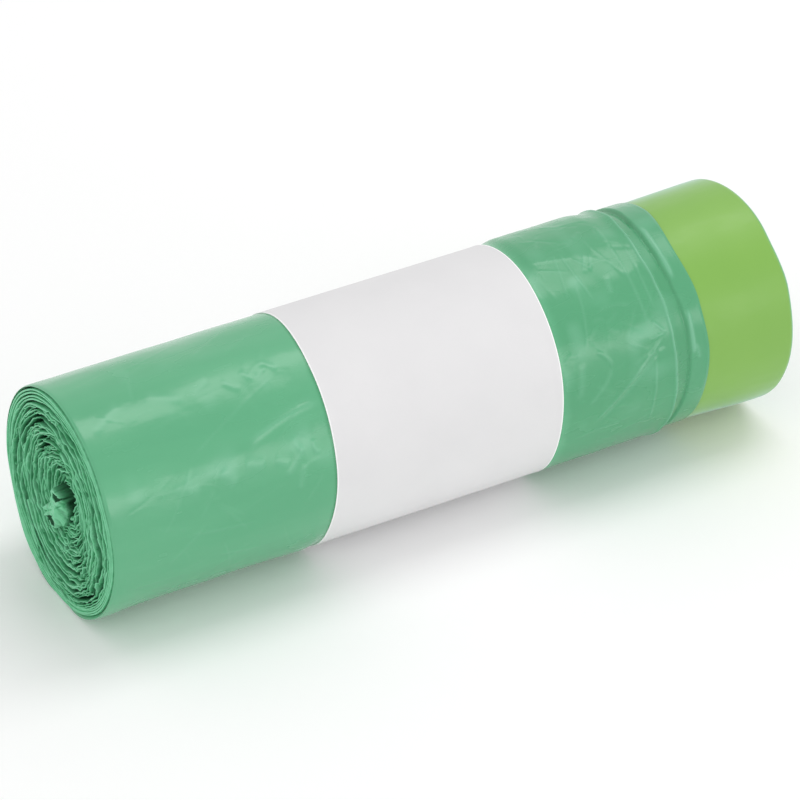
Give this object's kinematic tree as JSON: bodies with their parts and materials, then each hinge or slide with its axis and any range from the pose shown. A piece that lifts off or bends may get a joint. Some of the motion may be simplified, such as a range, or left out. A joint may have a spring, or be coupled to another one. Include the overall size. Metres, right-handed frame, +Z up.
{
  "type": "bin bag roll",
  "caption": "Coreless roll of green plastic bin bags lying on its side, wound turns at one end, a tape in the hem at the other, held by a plain white paper band.",
  "frame": {"origin": "on the surface that the roll lies on, under the middle of its length and width", "axes": "+X along the roll towards the end with the tape, +Z up, +Y across the roll"},
  "size_m": [0.244, 0.0726, 0.0785],
  "materials": {
    "bag_film": "thin green polyethylene film, smooth and glossy, with soft creases",
    "tape_film": "smooth lime tape seen through the film of the hem",
    "band_paper": "plain white uncoated paper, no print"
  },
  "bodies": {
    "root": {"bag_roll": "bag_film", "draw_tape": "tape_film", "paper_band": "band_paper"}
  },
  "joints": []
}
